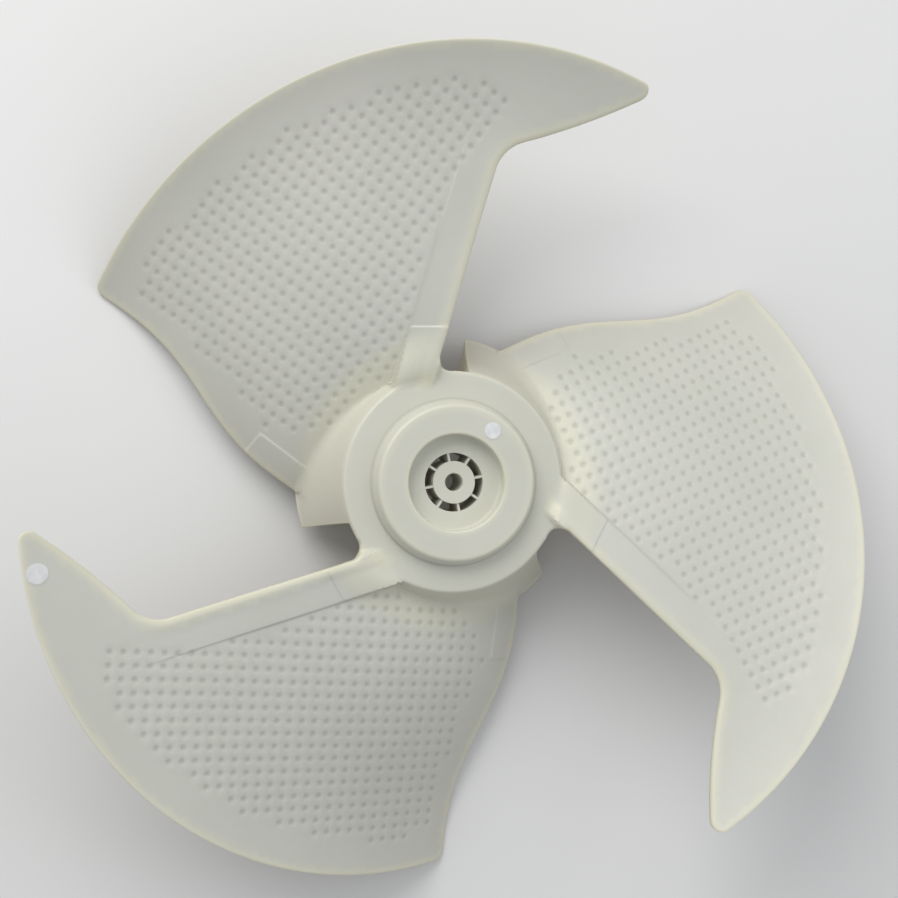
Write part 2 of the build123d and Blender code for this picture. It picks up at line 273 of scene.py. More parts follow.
def inside(points, polygon):
    """Which of the points lie inside a polygon."""
    points, polygon = np.asarray(points), np.asarray(polygon)
    result = np.zeros(len(points), dtype=bool)
    for (x0, y0), (x1, y1) in zip(polygon, np.roll(polygon, -1, axis=0)):
        if y0 == y1:
            continue
        crosses = (points[:, 1] < y0) != (points[:, 1] < y1)
        result ^= crosses & (points[:, 0] < (x1 - x0) * (points[:, 1] - y0) / (y1 - y0) + x0)
    return result


def weights(value, nodes):
    """Weights of a smooth curve through values at the nodes, at one place on it."""
    result = []
    for own in nodes:
        weight = 1.0
        for other in nodes:
            if other != own:
                weight = weight * (value - other) / (own - other)
        result.append(weight)
    return result


def rounded_profile(corners, radii, steps=6):
    """Turned profile as (radius, height) points, with an arc at each corner that has a radius."""
    corners = [np.array(corner, dtype=float) for corner in corners]
    points = [corners[0]]
    for before, corner, after, radius in zip(corners, corners[1:], corners[2:], radii):
        if radius == 0:
            points.append(corner)
            continue
        first, second = unit(before - corner), unit(after - corner)
        half = np.arccos(np.clip(first @ second, -1, 1)) / 2
        centre = corner + unit(first + second) * radius / np.sin(half)
        start = corner + first * radius / np.tan(half) - centre
        end = corner + second * radius / np.tan(half) - centre
        sweep = np.arctan2(start[0] * end[1] - start[1] * end[0], start @ end)
        for turn in np.linspace(0, sweep, steps + 1):
            cos, sin = np.cos(turn), np.sin(turn)
            spoke = np.array([cos * start[0] - sin * start[1], sin * start[0] + cos * start[1]])
            points.append(centre + spoke)
    points.append(corners[-1])
    points = np.array(points)
    for i in range(1, len(points)):
        points[i, 0] = max(points[i, 0], points[i - 1, 0] + STEP_GAP)
    return points


# ---- Profiles of the hub and the skirt ----
SLEEVE_OUTER = SLEEVE_RADIUS + SLEEVE_WALL
RIM_INNER = RING_RADIUS - HUB_WALL
flank_inset = HUB_WALL * np.hypot(CROWN_FLANK, CROWN_HEIGHT) / CROWN_HEIGHT
inner_crown = CROWN_RADIUS + CROWN_FLANK * HUB_WALL / CROWN_HEIGHT - flank_inset
inner_foot = CROWN_RADIUS + CROWN_FLANK * (CROWN_HEIGHT + HUB_WALL) / CROWN_HEIGHT - flank_inset
hub_top = rounded_profile(
    [(SLEEVE_RADIUS, RECESS_FLOOR), (RECESS_RADIUS, RECESS_FLOOR), (RECESS_RADIUS, CROWN_HEIGHT),
     (CROWN_RADIUS, CROWN_HEIGHT), (CROWN_RADIUS + CROWN_FLANK, 0), (RING_RADIUS, 0),
     (RING_RADIUS, -RING_EDGE_ROUND)],
    [RECESS_ROUND, RECESS_ROUND, CROWN_ROUND, FOOT_ROUND, RING_EDGE_ROUND],
)
hub_under = rounded_profile(
    [(SLEEVE_OUTER, RECESS_FLOOR - SLEEVE_DEPTH), (SLEEVE_OUTER, RECESS_FLOOR - HUB_WALL),
     (RECESS_RADIUS + HUB_WALL, RECESS_FLOOR - HUB_WALL),
     (RECESS_RADIUS + HUB_WALL, CROWN_HEIGHT - HUB_WALL),
     (inner_crown, CROWN_HEIGHT - HUB_WALL), (inner_foot, -HUB_WALL), (RIM_INNER, -HUB_WALL),
     (RIM_INNER, -RIM_DEPTH), (RING_RADIUS, -RIM_DEPTH)],
    [0, RECESS_ROUND + HUB_WALL, 0, FOOT_ROUND, RECESS_ROUND + HUB_WALL, LIP_ROUND, 0],
)


def skirt_height(radius):
    """Height of the skirt's outer flank, which bows towards the axis."""
    start = np.array([RING_RADIUS, -RING_EDGE_ROUND])
    end = np.array([SKIRT_RADIUS, -SKIRT_DEPTH])
    half = np.hypot(*(end - start)) / 2
    arc_radius = (half ** 2 + SKIRT_BOW ** 2) / (2 * SKIRT_BOW)
    centre = (start + end) / 2 + left_of(unit(end - start)) * (arc_radius - SKIRT_BOW)
    across = np.clip(radius, RING_RADIUS - 8, SKIRT_RADIUS + 12) - centre[0]
    return centre[1] - np.sqrt(arc_radius ** 2 - across ** 2)


# ---- Plan of one blade and its skirt ----
LEADING_WAY = polar(1.0, LEADING_DIRECTION)
LEADING_LEFT = left_of(LEADING_WAY)
TRAILING_ROOT = polar(TRAILING_RADII[0], TRAILING_ANGLES[0])
TRAILING_WAY = unit(polar(TRAILING_RADII[1], TRAILING_ANGLES[1]) - TRAILING_ROOT)
TRAILING_LEFT = -left_of(TRAILING_WAY)
ORIGIN = np.zeros(2)


def angle_of(point):
    return float(np.degrees(np.arctan2(point[1], point[0])))


def circle_through(first, second, third):
    ways = np.array([second - first, third - first])
    squares = np.array([second @ second - first @ first, third @ third - first @ first]) / 2
    centre = np.linalg.solve(ways, squares)
    return centre, np.hypot(*(first - centre))


def petal_plan():
    """Runs of the plan, anticlockwise: points, spacing, and the edge where each starts and ends."""
    blend_along = np.sqrt((RING_RADIUS + HUB_BLEND) ** 2 - (LEADING_OFFSET - HUB_BLEND) ** 2)
    blend_centre = LEADING_WAY * blend_along + LEADING_LEFT * (LEADING_OFFSET - HUB_BLEND)
    blend_on_edge = LEADING_WAY * blend_along + LEADING_LEFT * LEADING_OFFSET
    blend_on_ring = unit(blend_centre) * RING_RADIUS
    start, end = angle_of(blend_on_ring - blend_centre), angle_of(blend_on_edge - blend_centre)
    blend = arc(blend_centre, HUB_BLEND, start, start - (start - end) % 360)
    turn = np.degrees(np.arcsin(LEADING_OFFSET / LEADING_CORNER_RADIUS))
    corner = polar(LEADING_CORNER_RADIUS, LEADING_DIRECTION + turn)
    nose = polar(NOSE_RADIUS, NOSE_ANGLE)
    middle = polar(TIP_RADIUS, (NOSE_ANGLE + TRAILING_ANGLES[-1]) / 2)
    tip = polar(TRAILING_RADII[-1], TRAILING_ANGLES[-1])
    centre, radius = circle_through(nose, middle, tip)
    outer = arc(centre, radius, angle_of(nose - centre), angle_of(tip - centre))
    leading, nose_run = line(blend_on_edge, corner), bowed(corner, nose, NOSE_BULGE)
    trailing = [polar(*pair) for pair in zip(TRAILING_RADII, TRAILING_ANGLES)]
    trailing = natural_spline(trailing[::-1])
    leading, leading_round, nose_run = round_corner(
        leading, nose_run, LEADING_CORNER_ROUND, side=-1)
    nose_run, nose_round, outer = round_corner(nose_run, outer, NOSE_ROUND)
    outer, trailing_round, trailing = round_corner(outer, trailing, TRAILING_CORNER_ROUND)
    foot = arc(ORIGIN, SKIRT_RADIUS, TRAILING_ANGLES[0], SKIRT_END_ANGLE)
    end_outer = polar(SKIRT_RADIUS, SKIRT_END_ANGLE)
    way = unit(polar(SKIRT_END_INNER_RADIUS, SKIRT_END_INNER_ANGLE) - end_outer)
    along = end_outer @ way
    reach = -along - np.sqrt(along ** 2 - SKIRT_RADIUS ** 2 + RING_RADIUS ** 2)
    end_inner = end_outer + way * reach
    ring_start = angle_of(end_inner) % 360 - 360 / BLADE_COUNT
    ring = arc(ORIGIN, RING_RADIUS, ring_start, angle_of(blend_on_ring))
    return (
        (ring, 1.5, RING_EDGE, RING_EDGE),
        (blend, 1.0, BLEND_EDGE, LEADING_ROOT_EDGE),
        (leading, 1.6, LEADING_ROOT_EDGE, LEADING_EDGE),
        (leading_round, 1.2, LEADING_EDGE, LEADING_CORNER_EDGE),
        (nose_run, 1.4, LEADING_CORNER_EDGE, NOSE_EDGE),
        (nose_round, 0.7, NOSE_EDGE, OUTER_EDGE),
        (outer, 1.6, OUTER_EDGE, OUTER_EDGE),
        (trailing_round, 0.8, OUTER_EDGE, TRAILING_CORNER_EDGE),
        (trailing, 1.4, TRAILING_CORNER_EDGE, TRAILING_EDGE),
        (foot, 1.4, FOOT_EDGE, FOOT_EDGE),
        (line(end_outer, end_inner), 1.2, SKIRT_END_EDGE, SKIRT_END_EDGE),
    )


petal_points, petal_edges = [], []
for points, step, first, last in petal_plan():
    points = resampled(points, step)[:-1]
    share = np.linspace(0, 1, len(points), endpoint=False)[:, None]
    petal_points.append(points)
    petal_edges.append(np.array(first) * (1 - share) + np.array(last) * share)
TURNS = [360 / BLADE_COUNT * k for k in range(BLADE_COUNT)]
outline = np.concatenate([turned(np.concatenate(petal_points), turn) for turn in TURNS])
edge_sizes = np.concatenate([np.concatenate(petal_edges)] * BLADE_COUNT)


# ---- Windows between the spokes, and the bore: clockwise holes in the plan ----
def beside_spoke(radius, spoke, side):
    """Angle at which a side of a spoke meets a circle."""
    spread = np.degrees(np.arcsin(SPOKE_WIDTH / 2 / radius))
    return SPOKE_ANGLE + 360 / SPOKE_COUNT * spoke + side * spread


def window(spoke):
    """The hole between a spoke and the next one."""
    def first(radius):
        return beside_spoke(radius, spoke, 1)

    def last(radius):
        return beside_spoke(radius, spoke + 1, -1)

    sleeve = np.linspace(last(SLEEVE_RADIUS), first(SLEEVE_RADIUS), WINDOW_OUTER_POINTS)
    boss = np.linspace(first(BOSS_RADIUS), last(BOSS_RADIUS), WINDOW_INNER_POINTS)
    outer = [polar(SLEEVE_RADIUS, angle) for angle in sleeve]
    inner = [polar(BOSS_RADIUS, angle) for angle in boss]
    ends = (SLEEVE_RADIUS - STEP_GAP, BOSS_RADIUS + STEP_GAP)
    down = [polar(radius, first(radius)) for radius in ends]
    up = [polar(radius, last(radius)) for radius in ends[::-1]]
    return np.array(outer + down + inner + up)


holes = [window(spoke) for spoke in range(SPOKE_COUNT)]
bore_angles = np.linspace(0, 360, BORE_RING, endpoint=False)
holes.append(np.array([polar(BORE_RADIUS, -angle) for angle in bore_angles]))

loops = []
boundary_count = 0
for loop in [outline] + holes:
    loops.append(np.arange(boundary_count, boundary_count + len(loop)))
    boundary_count += len(loop)
boundary = np.concatenate([outline] + holes)

# The face steps across each spoke's two ends, between corners of neighbouring windows.
window_count = WINDOW_OUTER_POINTS + 2 + WINDOW_INNER_POINTS + 2
crossings = [(0, WINDOW_OUTER_POINTS - 1)]
crossings += [(window_count - k, WINDOW_OUTER_POINTS + k - 1) for k in (1, 2, 3)]
spoke_steps = []
for i in range(SPOKE_COUNT):
    here, there = loops[1 + i], loops[1 + (i + 1) % SPOKE_COUNT]
    spoke_steps += [(int(here[a]), int(there[b])) for a, b in crossings]


# ---- Distance to the outline, for the rounded edges ----
def tree_of(points):
    tree = kdtree.KDTree(len(points))
    for i, (x, y) in enumerate(points):
        tree.insert((x, y, 0.0), i)
    tree.balance()
    return tree


edge_tree = tree_of(outline)


def edge_distance(points):
    """Distance to the outline, and the width and drop of the nearest rounded edge."""
    nearest = np.array([edge_tree.find((x, y, 0.0))[1] for x, y in points])
    distance = np.full(len(points), np.inf)
    start = outline[nearest]
    for shift in (1, -1):
        way = np.roll(outline, shift, axis=0)[nearest] - start
        share = np.clip(((points - start) * way).sum(1) / (way * way).sum(1), 0, 1)
        gap = points - start - way * share[:, None]
        distance = np.minimum(distance, np.linalg.norm(gap, axis=1))
    return distance, edge_sizes[nearest]


def edge_drop(distance, sizes):
    """How far the rounded edges fall below their face."""
    share = np.clip(1 - distance / sizes[:, 0], 0, 1)
    return sizes[:, 1] * (1 - np.sqrt(1 - share * share))


# ---- Heights of the two faces ----
places = range(-DIMPLE_LATTICE, DIMPLE_LATTICE + 1)
lattice = np.array([(i, j) for i in places for j in places], dtype=float) * DIMPLE_PITCH
dimples = turned(lattice, DIMPLE_TURN) + np.array(DIMPLE_ORIGIN)
dimples = dimples[inside(dimples, DIMPLE_FIELD)]
dimple_tree = tree_of(dimples)


def from_dimple(points):
    """Distance to the middle of the nearest dimple, in the first blade's share of the plan."""
    return np.array([dimple_tree.find((x, y, 0.0))[2] for x, y in points])


def petal_frame(points):
    """The points turned back into the first blade's share of the plan, and their angles."""
    radius = np.hypot(points[:, 0], points[:, 1])
    angle = np.degrees(np.arctan2(points[:, 1], points[:, 0]))
    start = SHARE_START - SHARE_LEAN * np.maximum(radius - SKIRT_RADIUS, 0)
    share = np.floor(((angle - start) % 360) / (360 / BLADE_COUNT))
    local = points.copy()
    for k in range(BLADE_COUNT):
        local[share == k] = turned(points[share == k], -TURNS[k])
    return local, radius, start + (angle - start) % (360 / BLADE_COUNT)


def sheet_height(radius, angle):
    """The CAD model's inlet sheet and its upright thickness."""
    outwards = (radius - STATIONS[0]) / (STATIONS[-1] - STATIONS[0])
    place = (MIDDLE_ANGLE - MIDDLE_SWEEP * outwards - angle) / HALF_CHORD_ANGLE
    chord = weights(place, (-1.0, 0.0, 1.0))
    stations = weights(radius, STATIONS)
    height = 0.0
    for share, *values in zip(stations, TRAILING_HEIGHTS, MIDDLE_HEIGHTS, LEADING_HEIGHTS):
        height = height + share * sum(weight * value for weight, value in zip(chord, values))
    taper = (WALL_TIP - WALL_ROOT) * (radius - RING_RADIUS) / (TIP_RADIUS - RING_RADIUS)
    return height, WALL_ROOT + taper + NOSE_THICKENING * ((1.0 + place) / 2.0) ** 2


def step_up(distance, length):
    """From 0 to 1 over a length, half way where the distance is 0."""
    return smooth(distance / length + 0.5)


def blade_faces(points):
    """Inlet and outlet heights of the blade, with its band, pads and dimples."""
    local, radius, angle = petal_frame(points)
    inlet, wall = sheet_height(np.maximum(radius, WEDGE_INNER), angle)
    lead, along = local @ LEADING_LEFT - LEADING_OFFSET, local @ LEADING_WAY
    trail, out = (local - TRAILING_ROOT) @ TRAILING_LEFT, (local - TRAILING_ROOT) @ TRAILING_WAY
    band_end = 1 - smooth((along - BAND_FADE_START) / BAND_FADE_LENGTH)
    band = BAND_HEIGHT * step_up(BAND_WIDTH - lead, BAND_STEP)
    band *= band_end
    band += BEAD_HEIGHT * smooth((BEAD_WIDTH - lead) / BEAD_SLOPE) * band_end
    pad = PAD_HEIGHT * step_up(BAND_WIDTH - lead, PAD_STEP)
    pad *= step_up(LEADING_PAD_END - local[:, 1], PAD_STEP)
    foot_start = smooth((out - TRAILING_PAD_FADE_START) / TRAILING_PAD_FADE_LENGTH)
    foot = TRAILING_PAD_HEIGHT * step_up(TRAILING_PAD_WIDTH - trail, TRAILING_PAD_STEP)
    foot *= step_up(TRAILING_PAD_LENGTH - out, TRAILING_PAD_STEP) * foot_start
    wedge = WEDGE_HEIGHT * smooth((WEDGE_START - radius) / WEDGE_REACH)
    wedge *= smooth((BAND_WIDTH + WEDGE_SIDE - lead) / WEDGE_SIDE_REACH)
    gusset = GUSSET_HEIGHT * smooth((GUSSET_START - radius) / GUSSET_REACH)
    gusset *= np.clip(lead / BAND_WIDTH, 0, 1)
    wedge += gusset * step_up(BAND_WIDTH - lead, GUSSET_STEP)
    fade = WEDGE_SLOPE * np.maximum(RING_RADIUS - radius, 0) - wedge
    root_cut = ROOT_CUT_DEPTH * smooth(-(lead + ROOT_CUT_START) / ROOT_CUT_REACH)
    fade = fade + np.where(radius < ROOT_CUT_RADIUS, root_cut, 0)
    past = np.where(radius < SKIRT_RADIUS + 1, PAST_DEPTH * smooth(-trail / PAST_REACH), 0.0)
    depth = np.clip(1 - (from_dimple(local) / DIMPLE_RADIUS) ** 2, 0, 1) * DIMPLE_DEPTH
    return inlet + band + pad + foot - depth - fade - past, inlet - wall - past


NOWHERE = -500.0              # a height below everything
END_OUTER = polar(SKIRT_RADIUS, SKIRT_END_ANGLE)
END_WAY = unit(END_OUTER - polar(SKIRT_END_INNER_RADIUS, SKIRT_END_INNER_ANGLE))


def web_distance(points):
    """Distance from the end edge of the skirt, into the skirt."""
    return -(petal_frame(points)[0] - END_OUTER) @ left_of(END_WAY)


def root_corner(points):
    """From 0 to 1 across the leading edge, into the rounded corner between it and the ring."""
    local, radius, _ = petal_frame(points)
    lead = local @ LEADING_LEFT - LEADING_OFFSET
    near = (radius > CORNER_INNER) & (radius < CORNER_OUTER)
    return np.where(near, smooth((CORNER_START - lead) / CORNER_REACH), 0)


def top_heights(points):
    """Heights of the inlet face: the hub, the skirts' flanks and the blades."""
    radius = np.hypot(points[:, 0], points[:, 1])
    hub = np.interp(radius, hub_top[:, 0], hub_top[:, 1])
    hub = np.where(radius < SLEEVE_RADIUS - STEP_GAP / 2, RECESS_FLOOR - SPOKE_DROP, hub)
    mouth = BOSS_FRONT - smooth((BORE_RADIUS + MOUTH_ROUND - radius) / MOUTH_ROUND) * MOUTH_ROUND
    hub = np.where(radius < BOSS_RADIUS + STEP_GAP / 2, mouth, hub)
    skirt = np.maximum(skirt_height(radius), FOOT_WALL - SKIRT_DEPTH)
    flank = np.where(radius < RING_RADIUS + RING_MARGIN, hub, skirt)
    flank = np.where(radius > SKIRT_RADIUS + SKIRT_MARGIN, NOWHERE, flank)
    distance, sizes = edge_distance(points)
    drop = edge_drop(distance, sizes)
    inset = RING_EDGE_ROUND - np.clip(distance, 0, RING_EDGE_ROUND)
    rounded = np.sqrt(RING_EDGE_ROUND ** 2 - inset ** 2) - RING_EDGE_ROUND
    flank = flank - np.where(radius > RING_RADIUS, drop, 0)
    flank = np.where(root_corner(points) > 0, rounded, flank)
    inlet = np.where(radius < WEDGE_INNER, NOWHERE, blade_faces(points)[0] - drop)
    growth = ROOT_BLEND_GROWTH * smooth((radius - ROOT_BLEND_START) / ROOT_BLEND_LENGTH)
    return soft_max(flank, inlet, ROOT_BLEND + growth)


def under_heights(points):
    """Heights of the outlet face: the hub's inside, its ribs, the skirts and the blades' backs."""
    radius = np.hypot(points[:, 0], points[:, 1])
    hub = np.interp(radius, hub_under[:, 0], hub_under[:, 1])
    hub = np.where(radius < SLEEVE_OUTER + STEP_GAP / 2, RECESS_FLOOR - SLEEVE_DEPTH, hub)
    for i in range(RIB_COUNT):
        way = polar(1.0, RIB_ANGLE + 360 / RIB_COUNT * i)
        rib = np.abs(points @ left_of(way)) < (RIB_WIDTH + STEP_GAP) / 2
        rib &= (points @ way > 0) & (points @ way < RING_RADIUS - HUB_WALL / 2 + STEP_GAP / 2)
        hub = np.where(rib, np.minimum(hub, -RIB_DEPTH), hub)
    hub = np.where(radius < BOSS_RADIUS + STEP_GAP / 2, BOSS_FRONT - BOSS_LENGTH, hub)
    room = np.maximum(skirt_height(radius + SKIRT_WALL), -SKIRT_DEPTH)
    room = np.where(radius > SKIRT_RADIUS - SKIRT_WALL, -SKIRT_DEPTH, room)
    room = np.where(radius > SKIRT_RADIUS + SKIRT_MARGIN, NOWHERE, room)
    under = soft_max(room, blade_faces(points)[1], UNDER_BLEND)
    corner = root_corner(points)
    under = (under + edge_drop(*edge_distance(points))) * (1 - corner) - RIM_DEPTH * corner
    under = np.where(radius < RING_RADIUS + RING_MARGIN, hub, under)
    across = web_distance(points)
    web = (across > -STEP_GAP / 2) & (across < SKIRT_WEB_WALL + STEP_GAP / 2)
    web &= radius > RIM_INNER + STEP_GAP / 2
    share = (radius - RIM_INNER) / (SKIRT_RADIUS - RIM_INNER)
    lower = -SKIRT_WEB_DEPTH + (SKIRT_WEB_DEPTH - SKIRT_DEPTH) * share
    return np.where(web & (radius < SKIRT_RADIUS + 0.5), np.minimum(under, lower), under)


# ---- Points of the plan between its edges ----
def circle(radius, count):
    return np.array([polar(radius, angle) for angle in np.linspace(0, 360, count, endpoint=False)])


def beyond(points, radius):
    """Points farther from the axis than a radius."""
    return points[np.hypot(points[:, 0], points[:, 1]) > radius]


def on_every_blade(points):
    return np.concatenate([turned(points, turn) for turn in TURNS])


def kept_inside(points, margin):
    """Points inside the outline, clear of its rounded edge by a margin."""
    points = points[inside(points, outline)]
    distance, sizes = edge_distance(points)
    return points[distance > margin + sizes[:, 0]]


def edge_rows(shares):
    """Rows of points along the rounded edges, at shares of their width."""
    inwards = normals_of(np.concatenate([outline[-1:], outline, outline[:1]]))[1:-1]
    rows = []
    for share in shares:
        depth = edge_sizes[:, :1] * share
        row = outline + inwards * depth
        rows.append(row[edge_distance(row)[0] > depth[:, 0] * 0.9])
    return np.concatenate(rows)


def net(step):
    """A triangular net over the blades, outside the skirts."""
    span = int(TIP_RADIUS / step) + 2
    rows = range(-int(span * 1.2), int(span * 1.2))
    columns = range(-span, span)
    points = [((i + 0.5 * (j % 2)) * step, j * step * 0.866) for j in rows for i in columns]
    return beyond(np.array(points), NET_INNER_RADIUS)


def step_rows():
    """Rows of points along the steps of the band and the pads, on every blade."""
    rows = []
    for shift in STEP_SHIFTS:
        place = LEADING_LEFT * (LEADING_OFFSET + BAND_WIDTH + shift)
        rows += [place + LEADING_WAY * along for along in np.arange(*BAND_RUN, STEP_SPACING)]
        end = LEADING_PAD_END + shift
        rows += [np.array([x, end]) for x in np.arange(*LEADING_PAD_RUN, STEP_END_SPACING)]
        start = TRAILING_ROOT + TRAILING_LEFT * (TRAILING_PAD_WIDTH + shift)
        outwards = np.arange(*TRAILING_PAD_RUN, STEP_SPACING)
        rows += [start + TRAILING_WAY * out for out in outwards]
        start = TRAILING_ROOT + TRAILING_WAY * (TRAILING_PAD_LENGTH + shift)
        sideways = np.arange(*TRAILING_PAD_END_RUN, STEP_END_SPACING)
        rows += [start + TRAILING_LEFT * across for across in sideways]
    return on_every_blade(np.array(rows))


def web_rows():
    """Rows of points along the inner side of each skirt's end web."""
    along = np.arange(*WEB_RUN, WEB_SPACING)[:, None] * END_WAY
    rows = []
    for across in (SKIRT_WEB_WALL + STEP_GAP, SKIRT_WEB_WALL, 0.0, -STEP_GAP):
        row = END_OUTER - left_of(END_WAY) * across + along
        radius = np.hypot(row[:, 0], row[:, 1])
        end = RING_RADIUS - WEB_END_GAP
        if across > STEP_GAP:
            end = SKIRT_RADIUS - WEB_OUTER_GAP
        rows.append(row[(radius > RIM_INNER + WEB_INNER_GAP) & (radius < end)])
    return on_every_blade(np.concatenate(rows))


def dimple_rows():
    """The middle of each dimple and rings of points around it, on every blade."""
    rows = [dimples]
    for share, count in DIMPLE_RINGS:
        ring = circle(DIMPLE_RADIUS * share, count)
        rows.append((dimples[:, None] + ring[None]).reshape(-1, 2))
    return on_every_blade(np.concatenate(rows))


def thinned(points, others, gap):
    """Points that are farther than a gap from the others."""
    tree = tree_of(others)
    return points[[tree.find((x, y, 0.0))[2] > gap for x, y in points]]


def triangulated(loose, rings, edges):
    """Triangles of the plan. The first vertices are the boundary's, in order."""
    points, constraints, count = [boundary, loose], list(edges), boundary_count + len(loose)
    for loop in loops:
        constraints += [(int(a), int(b)) for a, b in zip(loop, np.roll(loop, -1))]
    for ring in rings:
        index = np.arange(count, count + len(ring))
        constraints += [(int(a), int(b)) for a, b in zip(index, np.roll(index, -1))]
        points.append(ring)
        count += len(ring)
    vectors = [Vector((x, y)) for x, y in np.concatenate(points)]
    found, _, faces, sources, _, _ = delaunay_2d_cdt(vectors, constraints, [], 0, 1e-6, True)
    place = {item: index for index, source in enumerate(sources) for item in source}
    first = [place[item] for item in range(boundary_count)]
    rest = sorted(set(range(len(found))) - set(first))
    order = np.empty(len(found), dtype=int)
    order[first + rest] = np.arange(len(found))
    plan = np.array([(v.x, v.y) for v in found])[first + rest]
    faces = order[np.array(faces)]
    centres = plan[faces].mean(axis=1)
    keep = inside(centres, outline)
    near = np.nonzero(np.hypot(centres[:, 0], centres[:, 1]) < SLEEVE_RADIUS)[0]
    for hole in holes:
        keep[near] &= ~inside(centres[near], hole)
    return plan, faces[keep]


def painted_edge_light(points):
    """From 0 to 1: painted light, a cream tint for light through the plastic near its thin and
    rounded edges, on the root pads and over the hub.
    """
    local, radius, _ = petal_frame(points)
    lead = local @ LEADING_LEFT - LEADING_OFFSET
    distance, sizes = edge_distance(points)
    blade = 1 - smooth(distance / (EDGE_GLOW_WIDTH + EDGE_GLOW_PER_WIDTH * sizes[:, 0]))
    blade = np.maximum(blade, SKIRT_GLOW * smooth((SKIRT_GLOW_END - radius) / SKIRT_GLOW_FADE))
    crown, recess = (
        1 - smooth(np.abs(radius - middle) / reach)
        for middle, reach in (CROWN_GLOW_PLACE, RECESS_GLOW_PLACE))
    root = smooth((radius - ROOT_GLOW_START) / ROOT_GLOW_FADE)
    root *= smooth((ROOT_GLOW_SIDE[0] - lead) / ROOT_GLOW_SIDE[1])
    root *= smooth((lead + ROOT_GLOW_EDGE[0]) / ROOT_GLOW_EDGE[1])
    hub = np.maximum(ROUND_GLOW * np.maximum(crown, recess), root)
    rim = HUB_GLOW + RIM_GLOW * smooth((radius - RIM_GLOW_START) / RIM_GLOW_FADE)
    return np.where(radius > RING_RADIUS, blade, np.maximum(hub, rim))


def painted_shade(points):
    """From 0 to 1: painted shade on the inlet face, in its dimples, its crease and along the band's
    step.
    """
    local, radius, _ = petal_frame(points)
    depth = np.clip(1 - from_dimple(local) / DIMPLE_RADIUS, 0, 1)
    crease = 1 - smooth(np.abs(radius - CROWN_RADIUS - CROWN_FLANK) / CREASE_FADE)
    step = np.abs(local @ LEADING_LEFT - LEADING_OFFSET - BAND_WIDTH) / BAND_SHADE_FADE
    step = (1 - smooth(step)) * smooth((BAND_FADE_START - radius) / BAND_FADE_LENGTH)
    step *= radius > RING_RADIUS
    return np.maximum(np.maximum(smooth(depth * DIMPLE_SHADE), crease), BAND_SHADE * step)


def skirt_rows():
    """Rings of points over the skirts."""
    rings = np.concatenate([circle(radius, RING) for radius in SKIRT_RADII])
    return kept_inside(rings, SKIRT_FROM_EDGE)


def top_plan():
    """The inlet face's plan: its points and triangles."""
    rings = [circle(radius, FINE_RING if radius > FINE_RING_START else RING)
             for radius, _ in hub_top[1:-3]]
    rings += [circle(BORE_RADIUS + MOUTH_ROUND, BORE_RING), circle(BOSS_RING_RADIUS, BOSS_RING)]
    rings += [circle(radius, RING) for radius in FLAT_TOP_RADII]
    rings += [circle(radius, FINE_RING) for radius in WEDGE_RADII]
    edge_points = edge_rows(TOP_EDGE_SHARES)
    step_points = kept_inside(step_rows(), STEPS_FROM_EDGE)
    dimple_points = thinned(dimple_rows(), step_points, DIMPLES_FROM_STEPS)
    detail = beyond(np.concatenate([step_points, dimple_points]), RING_RADIUS + 1)
    loose = thinned(kept_inside(net(TOP_NET), NET_FROM_EDGE), detail, NET_FROM_DETAIL)
    skirt = thinned(skirt_rows(), detail, SKIRT_FROM_DETAIL)
    return triangulated(np.concatenate([edge_points, detail, loose, skirt]), rings, spoke_steps)


def under_plan():
    """The outlet face's plan: its points and triangles."""
    rings = [circle(radius, RING) for radius, _ in hub_under[1:-1]]
    rings += [circle(SLEEVE_OUTER, RING), circle(BOSS_RING_RADIUS, BOSS_RING)]
    rings += [circle(radius, RING) for radius in FLAT_UNDER_RADII]
    for i in range(RIB_COUNT):
        for gap in (0.0, STEP_GAP):
            side, end = RIB_WIDTH / 2 + gap, RING_RADIUS - HUB_WALL / 2 + gap
            start = SLEEVE_OUTER - RIB_INNER_GAP
            corners = [(start, -side), (end, -side), (end, side), (start, side)]
            rings.append(turned(corners, RIB_ANGLE + 360 / RIB_COUNT * i))
    web = web_rows()
    web = web[inside(web, outline)]
    loose = [edge_rows(UNDER_EDGE_SHARES), kept_inside(net(UNDER_NET), NET_FROM_EDGE), skirt_rows()]
    loose = thinned(np.concatenate(loose), web, REST_FROM_WEB)
    return triangulated(np.concatenate([web, loose]), rings, spoke_steps)


def moulding_mesh():
    """The whole impeller as one closed mesh: two faces, and a wall along each edge of the plan."""
    top, top_faces = top_plan()
    under, under_faces = under_plan()
    heights = np.concatenate([top_heights(top), under_heights(under)])
    vertices = np.column_stack([np.concatenate([top, under]), heights]) * MM
    shift = len(top)
    faces = top_faces.tolist() + (under_faces[:, ::-1] + shift).tolist()
    for loop in loops:
        for a, b in zip(loop.tolist(), np.roll(loop, -1).tolist()):
            faces += [(a, a + shift, b + shift, b)]
    mesh = bpy.data.meshes.new("impeller_moulding")
    mesh.from_pydata(vertices.tolist(), [], faces)
    mesh.update()
    # Painted light near the edges and over the hub, as an attribute for the material
    glow = mesh.attributes.new("painted_edge_light", "FLOAT", "POINT")
    glow.data.foreach_set("value", painted_edge_light(np.concatenate([top, under])))
    # Painted shade on the inlet face only, as an attribute for the material
    shade = mesh.attributes.new("painted_shade", "FLOAT", "POINT")
    shade.data.foreach_set("value", np.concatenate([painted_shade(top), np.zeros(len(under))]))
    mesh.shade_smooth()
    mesh.set_sharp_from_angle(angle=np.radians(SHARP_ANGLE))
    return mesh


